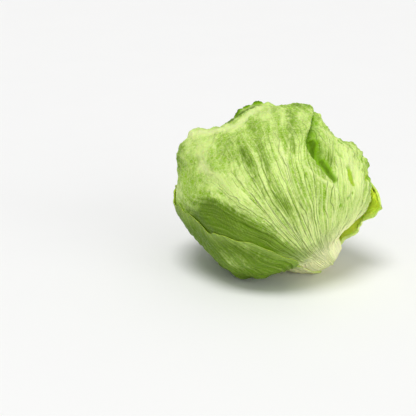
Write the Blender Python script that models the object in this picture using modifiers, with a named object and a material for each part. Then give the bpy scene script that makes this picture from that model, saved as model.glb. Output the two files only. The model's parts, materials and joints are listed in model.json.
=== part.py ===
# A whole head of crisp green lettuce, as cut, lying on its lower shoulder and its butt.
# Metres, +Z up. The front of the head faces -Y, its crown leans to -X and its butt to +X.

import math
import typing

import bmesh
import bpy
import numpy as np

# The whole head
GIRTH_RADIUS = 0.0850        # across the axis, at the widest
CROWN_REACH = 0.0780         # from the middle of the head up to its crown
SHOULDER_REACH = 0.0735      # from the middle down towards the butt, without the neck
NECK_LENGTH = 0.0115         # how far the butt stands out past the shoulders
NECK_SPREAD = math.radians(19)
GROOVE_DEPTH = 0.0065        # the waist between the butt and the shoulders
GROOVE_ANGLE = math.radians(33)
GROOVE_SPREAD = math.radians(10)

# How the head lies
TILT = math.radians(41)      # of the axis from the vertical
FRONT_ELEVATION = math.radians(18)
MIDDLE = np.array([-0.0051, -0.0020, 0.0713])
PRESSED_RISE = 0.0495        # how high the weight presses each layer, per share of depth

# The leaves shrink, layer by layer, towards the growing point
GROWING_POINT = 0.0300       # below the middle, along the axis
WRAPPER_STEP = 0.046         # share of the size lost from one leaf to the next
HEAD_STEP = 0.035

# The stem and the unopened bud at its tip
STEM_RADIUS = 0.0150
STEM_LENGTH = 0.0440
STEM_FACE = 0.0805           # from the middle of the head to the cut face
STEM_TURNS = 28
STEM_RINGS = 9
BUD_RADIUS = 0.0085
BUD_HEIGHT = 0.0200
BUD_BELOW_MIDDLE = 0.0260
BUD_FOLDS = 5
BUD_FOLD_DEPTH = 0.06        # share of the radius
BUD_TWIST = 3                # radians that a fold turns from the bud's middle to its tip
BUD_TURNS = 20
BUD_RINGS = 12

# The leaves
WRAPPER_BLADE = 0.0008       # thickness
HEAD_BLADE = 0.0005
FOOT_THICKENING = 1.25       # of a leaf's foot against its blade
FOOT_FADES_OVER = 0.22       # of the way up the leaf
FOOT_THINNING = 0.7          # share of the thickening lost at the two ends of the foot
MIDRIB_THICKENING = 0.35     # share of the foot's thickening
MIDRIB_SPREAD = 0.12         # of the way from the middle of a leaf to its side
FOOT_CLEARANCE = 0.0010      # between a leaf's foot and the stem
NARROWEST_FOOT = 0.0035      # from the axis, for the leaves above the stem's tip
FOOT_HALF_ANGLE = math.radians(60)
FAN_OPENS_OVER = 0.62        # in the leaf's own chart
CHART_CENTRE = math.radians(75)
ROWS_NEARER_FOOT = 1.4       # power that sets the rows of the grid closer at the foot
FLARE_STARTS = 0.66          # of the way from the middle of a leaf to its rim
FLARE_SIDE = (0.58, 0.83)    # the same, where the flare begins and where it is full
FLARE_FULL_ABOVE = 0.5       # of the way up the leaf
HEAD_LEAVES = 9
HEART_LEAVES = 7
GOLDEN_TURN = 137.5          # degrees round the axis from one leaf to the next

COLOURS = {
    "outer_leaf": (0.40, 0.58, 0.13),
    "head_leaf": (0.55, 0.68, 0.20),
    "heart_leaf": (0.74, 0.76, 0.24),
    "stem": (0.80, 0.82, 0.55),
}
ROUGHNESS = 0.45


class Lump(typing.NamedTuple):
    """A round swell or hollow of the whole head."""

    from_butt: float         # degrees
    around: float            # degrees round the axis: 0 is the front, 90 the right
    spread: float            # degrees
    height: float            # millimetres, less than 0 for a hollow


LUMPS = {
    "right_shoulder": Lump(50, 73, 21, 13.0),
    "right_hollow": Lump(92, 88, 20, -8.5),
    "top_right_knob": Lump(109, 92, 12, 5.0),
    "top_swell": Lump(140, 104, 22, 1.0),
    "crown_dip": Lump(165, 150, 16, -4.0),
    "left_bulge": Lump(156, -131, 18, 17.0),
    "left_flank": Lump(128, -106, 20, 5.0),
    "lower_left_flat": Lump(80, -90, 28, -6.5),
    "neck_front_flat": Lump(42, -72, 17, -10.5),
    "back_swell": Lump(90, 180, 40, 2.0),
}


class Leaf(typing.NamedTuple):
    """A leaf's place in the head and the run of its outline."""

    name: str
    around: float            # degrees round the axis, as for a lump
    tip: float               # degrees from the butt
    fan: float               # half angle of the fan, in degrees
    roundness: float         # of the fan's end: the higher, the more its corners are cut
    across: int              # quads across the blade
    up: int                  # quads from foot to tip
    bend: float = 0.0        # degrees that the midrib bends to the right
    flare: float = 0.0       # millimetres that the rim curls outwards on the left


# Outermost first
WRAPPERS = (
    Leaf("wrapper_leaf_bottom", -103, 120, 76, 2.2, 20, 18),
    Leaf("wrapper_leaf_back", 155, 122, 84, 2.8, 20, 18, flare=10),
    Leaf("wrapper_leaf_front", -12, 194, 66, 3.0, 18, 16, bend=10),
    Leaf("wrapper_leaf_right", 105, 168, 70, 2.4, 16, 14),
    Leaf("wrapper_leaf_left", -145, 172, 72, 2.4, 16, 14),
    Leaf("wrapper_leaf_inner", -16, 165, 64, 2.4, 16, 14),
)
HEAD_LEAF = Leaf("", 0, 146, 62, 2.4, 11, 10)


def head_basis():
    """Columns: the head's front, its right and its crown, as unit directions in the world."""
    crown = np.array([-math.sin(TILT), 0.0, math.cos(TILT)])
    viewer = np.array([0.0, -math.cos(FRONT_ELEVATION), math.sin(FRONT_ELEVATION)])
    front = viewer - (viewer @ crown) * crown
    front /= np.linalg.norm(front)
    return np.stack([front, np.cross(crown, front), crown], axis=1)


BASIS = head_basis()
GROWING = np.array([0.0, 0.0, -GROWING_POINT])


def direction(from_butt, around):
    """Unit direction at an angle from the butt and an angle round the axis."""
    return np.stack([
        np.sin(from_butt) * np.cos(around),
        np.sin(from_butt) * np.sin(around),
        -np.cos(from_butt) * np.ones_like(around),
    ], axis=-1)


def bell(angle, spread):
    return np.exp(-((angle / spread) ** 2))


def reach(towards):
    """Distance from the middle of the head to its outer surface, along unit directions.

    Two half ellipsoids, with the neck, the groove behind it and each lump added as bells.
    """
    along = towards[..., 2]
    across = np.sqrt(np.clip(1 - along**2, 0, 1))
    pole = np.where(along > 0, CROWN_REACH, SHOULDER_REACH)
    distance = 1 / np.sqrt((across / GIRTH_RADIUS) ** 2 + (along / pole) ** 2)
    from_butt = np.arccos(np.clip(-along, -1, 1))
    distance += NECK_LENGTH * bell(from_butt, NECK_SPREAD)
    distance -= GROOVE_DEPTH * bell(from_butt - GROOVE_ANGLE, GROOVE_SPREAD)
    for lump in LUMPS.values():
        centre = direction(math.radians(lump.from_butt), np.radians(lump.around))
        apart = np.arccos(np.clip(towards @ centre, -1, 1))
        distance += lump.height / 1000 * bell(apart, math.radians(lump.spread))
    return distance


def layer_point(towards, share, lift=0.0):
    """Points of the layer that is this share of the full size, from the middle of the head."""
    outer = (reach(towards) + lift)[..., None] * towards
    return GROWING + share * (outer - GROWING)


def place(towards, share, lift=0.0):
    """The same in the world, where the weight presses the lowest part of a layer flat.

    The outermost layer lies on the ground and each one inside it a little higher.
    """
    world = MIDDLE + layer_point(towards, share, lift) @ BASIS.T
    world[..., 2] = np.maximum(world[..., 2], PRESSED_RISE * (1 - share))
    return world


def stem_radius(height):
    """Radius of the stem above its cut face: half an ellipse, narrowing to the tip."""
    return STEM_RADIUS * np.sqrt(1 - np.clip(height / STEM_LENGTH, 0, 1) ** 2)


def foot_angle(share):
    """Angle from the butt at which a layer clears the stem's side."""
    angles = np.radians(np.linspace(2, 40, 381))
    local = layer_point(direction(angles, np.zeros_like(angles)), share)
    held = np.maximum(stem_radius(local[:, 2] + STEM_FACE) + FOOT_CLEARANCE, NARROWEST_FOOT)
    return angles[np.argmax(local[:, 0] > held)]


def leaf_directions(u, v, leaf, share):
    """Directions of a leaf's points. u runs from -1 to 1 across it and v from 0 to 1 up it.

    The leaf is a fan in a stereographic chart of the directions. The chart is centred on the
    leaf's middle, and the fan's rays start from the circle round the stem.
    """
    foot = foot_angle(share)
    near = math.tan((foot - CHART_CENTRE) / 2)
    far = -math.tan((foot + CHART_CENTRE) / 2)
    start, origin = (near - far) / 2, (near + far) / 2
    tip = math.tan((math.radians(leaf.tip) - CHART_CENTRE) / 2) - origin
    fan = math.radians(leaf.fan)
    end = tip * np.cos(u * fan / 2) ** leaf.roundness
    radius = start + (end - start) * v
    opening = np.clip((radius - start) / FAN_OPENS_OVER, 0, 1)
    opening = opening * opening * (3 - 2 * opening)
    angle = u * (FOOT_HALF_ANGLE + (fan - FOOT_HALF_ANGLE) * opening)
    angle = angle + math.radians(leaf.bend) * radius * (1 - u * u)
    x = (radius * np.sin(angle))[..., None]
    y = (origin + radius * np.cos(angle))[..., None]
    around = math.radians(leaf.around)
    middle = direction(CHART_CENTRE, np.array(around))
    sideways = np.array([-math.sin(around), math.cos(around), 0.0])
    upwards = np.cross(middle, sideways)
    square = x * x + y * y
    return ((1 - square) * middle + 2 * x * sideways + 2 * y * upwards) / (1 + square)


def leaf_lift(u, v, leaf):
    """How far a leaf stands off its layer: the left end of its rim curls outwards."""
    rim = np.clip((np.maximum(-u, v) - FLARE_STARTS) / (1 - FLARE_STARTS), 0, 1) ** 2
    first, full = FLARE_SIDE
    left = np.clip((-u - first) / (full - first), 0, 1)
    left = left * np.clip(v / FLARE_FULL_ABOVE, 0, 1)
    return leaf.flare / 1000 * rim * left


def new_object(name, mesh, finish):
    """An object of the head, with a material of its own."""
    material = bpy.data.materials.new(name)
    material.use_nodes = True
    material.diffuse_color = (*COLOURS[finish], 1)
    shader = material.node_tree.nodes["Principled BSDF"]
    shader.inputs["Base Color"].default_value = (*COLOURS[finish], 1)
    shader.inputs["Roughness"].default_value = ROUGHNESS
    shader.inputs["Metallic"].default_value = 0
    mesh.materials.append(material)
    thing = bpy.data.objects.new(name, mesh)
    bpy.data.collections["lettuce_head"].objects.link(thing)
    return thing


def set_on_axis(thing, below_middle):
    """Stands an object on the head's own axis, its +Z towards the crown."""
    thing.location = MIDDLE - BASIS[:, 2] * below_middle
    thing.rotation_euler = (0, -TILT, 0)


def make_leaf(leaf, share, finish, blade):
    """A grid bent into a cupped fan, given its thickness inwards."""
    mesh = bpy.data.meshes.new(leaf.name)
    grid = bmesh.new()
    bmesh.ops.create_grid(grid, x_segments=leaf.across, y_segments=leaf.up, size=1)
    flat = np.array([vertex.co[:] for vertex in grid.verts])
    u, v = flat[:, 0], ((flat[:, 1] + 1) / 2) ** ROWS_NEARER_FOOT
    points = place(leaf_directions(u, v, leaf, share), share, leaf_lift(u, v, leaf))
    for vertex, point in zip(grid.verts, points):
        vertex.co = point
    grid.to_mesh(mesh)
    grid.free()
    mesh.shade_smooth()
    thing = new_object(leaf.name, mesh, finish)
    thick = thing.vertex_groups.new(name="foot_and_midrib")
    foot = bell(v, FOOT_FADES_OVER) * (1 - FOOT_THINNING * u * u)
    midrib = MIDRIB_THICKENING * bell(u, MIDRIB_SPREAD) * (1 - v)
    for index, weight in enumerate(np.maximum(foot, midrib)):
        thick.add([index], float(weight), "REPLACE")
    shell = thing.modifiers.new("thickness", "SOLIDIFY")
    shell.thickness = blade * FOOT_THICKENING
    shell.offset = -1
    shell.vertex_group = thick.name
    shell.thickness_vertex_group = 1 / FOOT_THICKENING


def make_stem():
    """The stem, turned about the head's axis, with a flat cut face at the butt."""
    quarter = [math.pi / 2 * ring / STEM_RINGS for ring in range(STEM_RINGS, -1, -1)]
    side = [(STEM_RADIUS * math.cos(a), 0.0, STEM_LENGTH * math.sin(a)) for a in quarter]
    side[0] = (0.0, 0.0, STEM_LENGTH)
    profile = [*side, (0.0, 0.0, 0.0)]
    mesh = bpy.data.meshes.new("stem")
    mesh.from_pydata(profile, [(i, i + 1) for i in range(len(profile) - 1)], [])
    thing = new_object("stem", mesh, "stem")
    set_on_axis(thing, STEM_FACE)
    turn = thing.modifiers.new("turn", "SCREW")
    turn.axis = "Z"
    turn.steps = turn.render_steps = STEM_TURNS
    turn.use_merge_vertices = True
    turn.merge_threshold = 0.00005
    turn.use_smooth_shade = True


def make_bud():
    """The unopened bud over the stem's tip: a small folded ball."""
    mesh = bpy.data.meshes.new("heart_bud")
    ball = bmesh.new()
    bmesh.ops.create_uvsphere(ball, u_segments=BUD_TURNS, v_segments=BUD_RINGS, radius=1)
    for vertex in ball.verts:
        around = math.atan2(vertex.co.y, vertex.co.x)
        turned = BUD_FOLDS * around + BUD_TWIST * vertex.co.z
        fold = 1 + BUD_FOLD_DEPTH * math.cos(turned)
        vertex.co.x *= BUD_RADIUS * fold
        vertex.co.y *= BUD_RADIUS * fold
        vertex.co.z *= BUD_HEIGHT / 2
    ball.to_mesh(mesh)
    ball.free()
    mesh.shade_smooth()
    set_on_axis(new_object("heart_bud", mesh, "heart_leaf"), BUD_BELOW_MIDDLE)


def main():
    for old in list(bpy.data.objects):
        bpy.data.objects.remove(old)
    bpy.context.scene.collection.children.link(bpy.data.collections.new("lettuce_head"))
    make_stem()
    make_bud()
    share = 1.0
    for leaf in WRAPPERS:
        make_leaf(leaf, share, "outer_leaf", WRAPPER_BLADE)
        share -= WRAPPER_STEP
    around = WRAPPERS[-1].around
    for kind, count in (("head_leaf", HEAD_LEAVES), ("heart_leaf", HEART_LEAVES)):
        for number in range(1, count + 1):
            around += GOLDEN_TURN
            leaf = HEAD_LEAF._replace(name=f"{kind}_{number:02d}", around=around)
            make_leaf(leaf, share, kind, HEAD_BLADE)
            share -= HEAD_STEP


if __name__ == "__main__":
    main()
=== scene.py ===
"""A whole head of crisp lettuce, leaf by leaf, on a pale floor.

Laid out as an add-on with a sidebar panel, and run as a script.
"""

import json
import math
import typing

import bpy
import numpy as np
from bpy.props import FloatProperty, FloatVectorProperty, PointerProperty
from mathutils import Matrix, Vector

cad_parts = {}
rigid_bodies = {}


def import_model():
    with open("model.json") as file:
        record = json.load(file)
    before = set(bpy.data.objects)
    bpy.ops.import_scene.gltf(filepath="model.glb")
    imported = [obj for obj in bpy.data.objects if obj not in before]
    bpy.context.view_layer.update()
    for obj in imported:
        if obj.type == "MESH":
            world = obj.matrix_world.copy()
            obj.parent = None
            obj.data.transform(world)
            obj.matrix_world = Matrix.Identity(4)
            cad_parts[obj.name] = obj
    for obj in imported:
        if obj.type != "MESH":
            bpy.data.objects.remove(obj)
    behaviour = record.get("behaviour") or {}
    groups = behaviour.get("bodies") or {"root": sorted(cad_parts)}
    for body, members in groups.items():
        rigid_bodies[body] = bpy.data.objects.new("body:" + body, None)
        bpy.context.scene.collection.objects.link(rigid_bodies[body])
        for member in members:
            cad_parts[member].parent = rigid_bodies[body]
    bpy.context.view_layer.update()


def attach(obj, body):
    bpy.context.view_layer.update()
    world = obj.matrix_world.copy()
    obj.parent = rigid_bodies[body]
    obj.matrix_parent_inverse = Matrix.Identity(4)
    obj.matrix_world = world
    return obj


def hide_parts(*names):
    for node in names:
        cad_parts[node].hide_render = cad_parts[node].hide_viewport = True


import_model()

bl_info = {
    "name": "Crisp lettuce head",
    "version": (1, 0, 0),
    "blender": (4, 5, 0),
    "location": "3D View > Sidebar > Lettuce",
    "description": "Builds the leaves, the stem and the stage of a lettuce head",
    "category": "Object",
}

MM = 0.001
DEGREE = math.pi / 180

# The head's own shape and the way it lies. Angles are from the butt and round the head's axis.
GIRTH_RADIUS = 0.0850
CROWN_REACH = 0.0780
SHOULDER_REACH = 0.0735
NECK_LENGTH = 0.0165
NECK_SPREAD = 19 * DEGREE
GROOVE_DEPTH = 0.0015
GROOVE_ANGLE = 33 * DEGREE
GROOVE_SPREAD = 10 * DEGREE
NOTCH_DEPTH = 0.0200         # of the hollow beside the butt
NOTCH_ANGLE = 21 * DEGREE
NOTCH_WIDTH = 7.5 * DEGREE
NOTCH_AROUND = 62 * DEGREE
NOTCH_SPREAD = 42 * DEGREE
NOTCH_SHARE = 0.93           # leaves on layers beyond this share pass over the hollow
TILT = 41 * DEGREE
FRONT_ELEVATION = 18 * DEGREE
MIDDLE = np.array([-0.0051, -0.0020, 0.0713])
PRESSED_RISE = 0.0495        # a layer's flat underside lies this high times the size it lacks
GROWING = np.array([0.0, 0.0, -0.0300])     # from the middle, in front, right and crown
STEM_RADIUS = 0.0150
STEM_LENGTH = 0.0440
STEM_FACE = 0.0805           # from the middle to the cut face
STEM_ROUNDING = 0.0016
FOOT_CLEARANCE = 0.0010
NARROWEST_FOOT = 0.0035
GOLDEN_TURN = 137.5          # degrees from one leaf to the next
HEAD_LEAVES = 9
HEART_LEAVES = 7
BUD_RADIUS = 0.0082
BUD_HALF_LENGTH = 0.0096
BUD_BELOW_MIDDLE = 0.0260

# A leaf's fan in its chart
FOOT_HALF_ANGLE = 60 * DEGREE
FOOT_CIRCLE = 0.31           # radius in the chart of the circle round the stem, about
FAN_OPENS_OVER = 0.62        # distance from the foot at which the fan has its full angle
CHART_CENTRE = 75 * DEGREE
RIB_SHARE = 0.85             # of a leaf's ribs that fit from its midrib to one side
FLARE_WIDTH = 10.0           # in millimetres from the left rim
FOOT_SPREAD = 30 * DEGREE
SHARED_WAVES = 3             # seed of the waves that all leaves have in common
PHASES = 6.3                 # range of the sines' random starts, in radians
UV_PER_RIB = 0.1

# Degrees from the butt, degrees round the axis, spread in degrees, height in millimetres
LUMPS = (
    (50, 73, 21, 13.0),
    (92, 88, 20, -8.5),
    (109, 92, 12, 5.0),
    (140, 104, 22, 1.0),
    (165, 150, 16, -4.0),
    (156, -131, 18, 17.0),
    (128, -106, 20, 5.0),
    (80, -90, 28, -6.5),
    (42, -72, 17, -10.5),
    (90, 180, 40, 2.0),
    (64, -48, 15, -4.0),
)


class Leaf(typing.NamedTuple):
    """A leaf's place in the head, its outline and how finely its surface is worked out."""

    node: str
    share: float             # of the full size, for the layer that the leaf lies on
    around: float            # degrees round the axis
    tip: float               # degrees from the butt
    fan: float               # half angle of the fan, in degrees
    roundness: float
    columns: int
    rows: int
    ribs: int                # at the foot, before they split
    seed: int
    frill: float = 1.0       # how ruffled the rim is
    tint: float = 0.0        # below 0 deeper green, above 0 paler
    flare: tuple = ()        # distance from the foot and millimetres that the left rim stands off
    heel: float = 2.0        # thickness added at the foot, in millimetres
    lift: float = 0.0        # how far the foot stands out over its layer, in millimetres
    hug: float = 0.0         # gap to which the rim closes on the front leaf, in millimetres
    left: tuple = ()         # distance from the foot and half angle in degrees, pairs up the leaf
    right: tuple = ()


WRAPPERS = (
    Leaf("wrapper_leaf_bottom", 1.0, -103, 125, 76, 0.7, 201, 151, 9, 11, heel=2.6, hug=0.9, tint=-1.7,
         flare=((0, 0.8), (0.1, 1.8), (0.3, 2.6), (0.6, 2.0), (0.9, 0.6), (1.2, 0)),
         right=((0, 34), (0.1, 44), (0.22, 50), (0.45, 57), (0.556, 57), (0.686, 53.3), (0.83, 48),
                (0.933, 42.7), (1.016, 37.4), (1.084, 32), (1.13, 26), (1.25, 18))),
    Leaf("wrapper_leaf_back", 0.954, 155, 122, 84, 2.8, 231, 171, 9, 12, tint=0.2, heel=2.6,
         flare=((0, 0), (0.04, 1), (0.11, 4), (0.2, 7), (0.3, 7.5), (0.4, 9.5), (0.445, 14),
                (0.475, 11), (0.5, 5), (0.54, 0), (0.7, 0)),
         left=((0, 46), (0.05, 56), (0.09, 70), (0.13, 74), (0.2, 70), (0.3, 70), (0.4, 72), (0.45, 76),
               (0.475, 69), (0.5, 60), (0.55, 54), (0.65, 50), (0.8, 46), (1.0, 42))),
    Leaf("wrapper_leaf_front", 0.908, -12, 194, 66, 3.0, 281, 271, 9, 13, heel=4.6, lift=4.4,
         frill=1.5, tint=-0.5, left=((0, 62), (0.6, 66)), right=((0, 72), (0.5, 66))),
    Leaf("wrapper_leaf_right", 0.862, 105, 168, 70, 2.4, 181, 161, 8, 14),
    Leaf("wrapper_leaf_left", 0.816, -145, 172, 72, 2.4, 181, 161, 8, 15),
    Leaf("wrapper_leaf_inner", 0.770, -16, 165, 64, 2.4, 111, 101, 8, 16),
)
BOTTOM_LEAF, FRONT_LEAF = WRAPPERS[0], WRAPPERS[2]
HEAD_LEAF = Leaf("", 0.724, 0, 146, 62, 2.4, 77, 67, 7, 30)    # the others follow inwards
HEAD_STEP = 0.035            # from the share of one head leaf to the next

# The stage: the name of each light, its strength, how wide it looks and the way towards it
LIGHTS = (
    ("soft_window", 1.95, 28 * DEGREE, (-0.14, -0.34, 1.0)),
    ("fill", 1.8, 60 * DEGREE, (0.85, -1.0, 0.10)),
)
SURROUNDING_LIGHT = 0.44
HALF_FLOOR = 6.0
LENS, SENSOR = 100, 36       # in millimetres
AIM = (-0.0041, -0.0026, 0.0713)
PHOTO_WIDTH = 416            # in pixels, like the way from the photo's middle to the aim
PHOTO_RIGHT, PHOTO_UP = 62, 18


def head_basis():
    """Columns: the head's front, its right and its crown, as unit directions in the world."""
    crown = np.array([-math.sin(TILT), 0.0, math.cos(TILT)])
    viewer = np.array([0.0, -math.cos(FRONT_ELEVATION), math.sin(FRONT_ELEVATION)])
    front = viewer - (viewer @ crown) * crown
    front /= np.linalg.norm(front)
    return np.stack([front, np.cross(crown, front), crown], axis=1)


BASIS = head_basis()


def smooth(low, high, value):
    """0 below low, 1 above high, and a smooth S between: three times the square less twice the cube."""
    share = np.clip((value - low) / (high - low), 0, 1)
    return share * share * (3 - 2 * share)


def bell(value, spread):
    """1 at 0, and falling as the exponential of the square of value over spread."""
    return np.exp(-((value / spread) ** 2))


def direction(from_butt, around):
    """Unit direction at an angle from the butt and an angle round the axis, in radians."""
    return np.stack([
        np.sin(from_butt) * np.cos(around),
        np.sin(from_butt) * np.sin(around),
        -np.cos(from_butt) * np.ones_like(around),
    ], axis=-1)


def angles_of(towards):
    """Angle from the butt and angle round the axis of unit directions, in radians."""
    from_butt = np.arccos(np.clip(-towards[..., 2], -1, 1))
    return from_butt, np.arctan2(towards[..., 1], towards[..., 0])


def over(low, high, angle):
    """The S of smooth for an angle in radians between two limits in degrees."""
    return smooth(low * DEGREE, high * DEGREE, angle)


def from_place(towards, from_butt, around):
    """Angle between directions and a place given in degrees from the butt and round the axis."""
    centre = direction(math.radians(from_butt), np.radians(around))
    return np.arccos(np.clip(towards @ centre, -1, 1))


def swell(towards, seed, waves, shortest, longest):
    """Soft waves over the sphere of directions, about -1 to 1.

    The sum of sines of the direction's dot product with seeded vectors, whose lengths set the
    waves' lengths, divided by the root of half their number.
    """
    random = np.random.default_rng(seed)
    total = np.zeros(towards.shape[:-1])
    for _ in range(waves):
        axis = random.normal(size=3)
        axis *= random.uniform(shortest, longest) / np.linalg.norm(axis)
        total += np.sin(towards @ axis + random.uniform(0, 2 * math.pi))
    return total / math.sqrt(waves / 2)


def beside_path(towards, path):
    """How far along a path of directions each direction lies, 0 to 1, and millimetres aside.

    Each stretch is a straight chord between two unit directions, and the nearest chord counts.
    The distance is above 0 on the left of the way along.
    """
    points = direction(*np.radians(np.array(path, float)).T)
    best = np.full(towards.shape[:-1], 9.0)
    along = np.zeros_like(best)
    aside = np.zeros_like(best)
    for index, (start, end) in enumerate(zip(points[:-1], points[1:])):
        step = end - start
        share = np.clip((towards - start) @ step / (step @ step), 0, 1)
        apart = np.linalg.norm(towards - start - share[..., None] * step, axis=-1)
        side = np.sign(towards @ np.cross(start, end))
        nearer = apart < best
        best = np.where(nearer, apart, best)
        along = np.where(nearer, (index + share) / (len(points) - 1), along)
        aside = np.where(nearer, apart * side, aside)
    return along, aside * GIRTH_RADIUS / MM


class Crease(typing.NamedTuple):
    """A fold pressed into the head. A list's values are an equal way apart along the path.

    The path is the crease's deepest line. On its right, seen along the path, the leaf stands
    as a flap that hangs over the crease, and on its left it rises softly to a bank.
    """

    path: tuple              # degrees from the butt and round the axis
    depth: tuple             # all in millimetres
    right: tuple             # from the deepest line to the flap's edge
    left: tuple              # from the deepest line to the bank
    overhang: tuple = (0, 0)
    lip: tuple = (0, 0)
    shade: float = 0.0       # share of the bank that gets painted shade as dark as at the deepest line

    def field(self, towards):
        """Height, overhang, distance from the path and the fold's painted shade, at directions.

        The height is the lip to the right of the flap's edge, falls in an S to the depth at
        the path and rises in an S to the bank. Painted shade fills the fold from its wall across the
        shaded share of the bank, and is paler where the fold is shallow. Lengths are in millimetres.
        """
        along, across = beside_path(towards, self.path)

        def at(values):
            return np.interp(along, np.linspace(0, 1, len(values)), values)

        depth, right, left = at(self.depth), at(self.right), at(self.left)
        lip, overhang = at(self.lip), at(self.overhang)
        edge = across + right
        wall = smooth(-right, -0.15 * right, across)
        bank = smooth(0.1 * left, left, across)
        height = lip * bell(np.minimum(edge, 0), 7) * (1 - wall) - depth * wall * (1 - bank)
        aside = overhang * smooth(-14, 0, edge) * (1 - smooth(0, right, edge))
        # painted shade where the fold lies in shade
        inside = wall * (1 - smooth(self.shade * left, (1.3 + 0.3 * self.shade) * left, across))
        return height, aside, across, inside * np.clip(depth / max(self.depth) * 1.6, 0, 1)


PLEAT = Crease(
    path=((112, 122), (111, 102), (111.3, 87.4), (112.5, 72), (112.8, 54.5), (111, 45),
          (108.7, 38.5), (104.5, 35.5), (99.5, 33.5), (93.5, 32.5), (87.4, 31.8), (80, 31.5), (68, 30)),
    depth=(0, 2, 3.5, 7.5, 11.5, 11, 8.5, 5.5, 3, 0),
    right=(3, 3, 3, 3.5, 4.5, 5, 5, 5, 4, 4),
    left=(10, 10, 10, 12, 16, 17, 14, 10, 7, 6),
    overhang=(0, 1, 2, 3.2, 2.8, 1, 0, 0, 0, 0),
    lip=(0, 1, 1.6, 1.8, 1.4, 0.8, 0.3, 0, 0, 0),
)
SMALL_CREASES = (
    Crease(path=((81, 50.5), (76, 48.8), (72.2, 46), (66, 45.6)), depth=(0.5, 3.2, 3.2, 0.5),
           right=(1.5, 1.5), left=(4.6, 4.6), shade=0.8),
    Crease(path=((69, 77.5), (65.5, 74), (63.3, 69), (61, 63)), depth=(2.5, 3.6, 3, 0),
           right=(1.5, 1.5), left=(5, 5), lip=(0.5, 0.5, 0, 0), shade=0.8),
    Crease(path=((92, 73), (87, 70.5), (82, 68)), depth=(0, 3.5, 0), right=(2.5, 2.5), left=(3, 3)),
    Crease(path=((96, 55), (88, 51), (82, 54)), depth=(0, 1.8, 0), right=(3, 3), left=(5, 5)),
)
# Degrees from the butt and round the axis, spread in degrees, height in millimetres, darkness of the
# painted shade round the knob
KNOBS = (
    (71, 80, 13, 5.0, 0), (80.5, 76, 4, 5.0, 0.1), (66, 80, 2.8, 4.5, 0.3), (74, 83, 3, 2.5, 0.2),
    (157, 119, 3.6, 6.0, 1), (151.5, 111, 2.6, 3.6, 0.9), (145, 105, 3.2, 3.4, 0.9),
    (139, 101, 2, 2, 0.3),
    (65.7, 35.1, 1.5, -1.4, 0.7), (67.2, 26.1, 1.5, -1.2, 0.6), (64.7, 41.6, 1.3, -1.2, 0.6),
)
# Degrees from the butt and round the axis, spread in degrees, change of the leaf's tint. The deep tints
# at the lower left are partly painted shade, and the strong pale tint on the right blade is partly
# painted light.
TINTS = (
    (98, -56, 24, -1.9), (62, -46, 24, -1.5), (127, 62, 9, -0.4), (92, 40, 9, -0.8),
    (122, 2, 9, -0.2), (90, -3, 13, -0.3), (86, 74, 8, -0.5), (69, 56, 22, 1.8),
    (150, -57, 20, 1.4), (158, -101, 11, -0.7), (157, 117, 12, -2.0), (146, 105, 7, -1.6),
    (63, 12, 9, 0.3), (105, 62, 18, 0.2), (81, 29, 6, 0.6),
)
# The ridge at the upper left, paled by a painted sheen: a path of degrees from the butt and round the
# axis
PAINTED_SHEEN_RIDGE = ((142, 98), (154, 71), (160, 35), (171, 18), (174, -110), (168, -120), (160, -138))
PAINTED_SHEEN_WIDTH = 6.0
PAINTED_SHEEN_PALENESS = 0.8
# Path, half width in millimetres, change of the leaf's tint. The two wide deep bands at the lower left
# are partly painted shade, and the pale band along the ridge at the upper left is a painted sheen.
BANDS = (
    (((142, 32), (130, 17), (120, 8), (112, 2), (105, -3), (98, -6)), 4.5, -0.3),
    (((128, 66), (124, 46), (118, 33), (112, 26)), 4.5, -0.8),
    (((115, -46), (106, -37), (93, -31), (78, -28), (62, -26)), 13.0, -1.4),
    (((100, -55), (89, -46), (75, -43)), 12.0, -0.8),
    (((138, 4), (126, -1), (116, -5), (107, -8)), 4.0, -0.5),
    (((150, -54), (130, -26), (112, -17), (97, -13), (80, -13)), 6.0, 0.7),
    (PAINTED_SHEEN_RIDGE, 7.0, 1.5),
)
# Marks of painted shade in the folds: path, half width in millimetres, shares of the colours of a deep
# fold and of the inner side
SHADE_MARKS = (
    (((111.5, 84), (112.9, 66), (112.4, 50), (111, 41)), 3.0, 0.9, 0),
    (((108.5, 47), (105.5, 44.5), (102.6, 39), (99, 34)), 3.4, 1.0, 0),
    (((97, 37), (92, 35.5), (86, 33), (79, 32)), 3.4, 0.9, 0),
    (((77.8, 50.6), (71, 49.5), (66.2, 45.8)), 3.6, 0.7, 0.3),
    (((65, 71), (62.5, 67), (61.4, 63)), 2.2, 0.7, 0.5),
    (((92.5, 64.5), (88.5, 64.4)), 1.8, 0.8, 0),
)
# Path, height and half width in millimetres
VEINS = (
    (((105, 22.8), (97.2, 23), (89.9, 24.6), (82, 27.5), (77.3, 28.2), (67.7, 20.7), (55.9, 12.2)),
     1.2, 1.6),
    (((98, 8), (106, 12), (114, 22), (121, 38)), 0.7, 1.1),
    (((104, 10), (113, 14), (122, 26)), 0.6, 1.1),
)


def notch(from_butt, turned):
    """Depth of the hollow beside the butt: a bell of both angles."""
    apart = np.arctan2(np.sin(turned - NOTCH_AROUND), np.cos(turned - NOTCH_AROUND))
    return NOTCH_DEPTH * bell(apart, NOTCH_SPREAD) * bell(from_butt - NOTCH_ANGLE, NOTCH_WIDTH)


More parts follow.
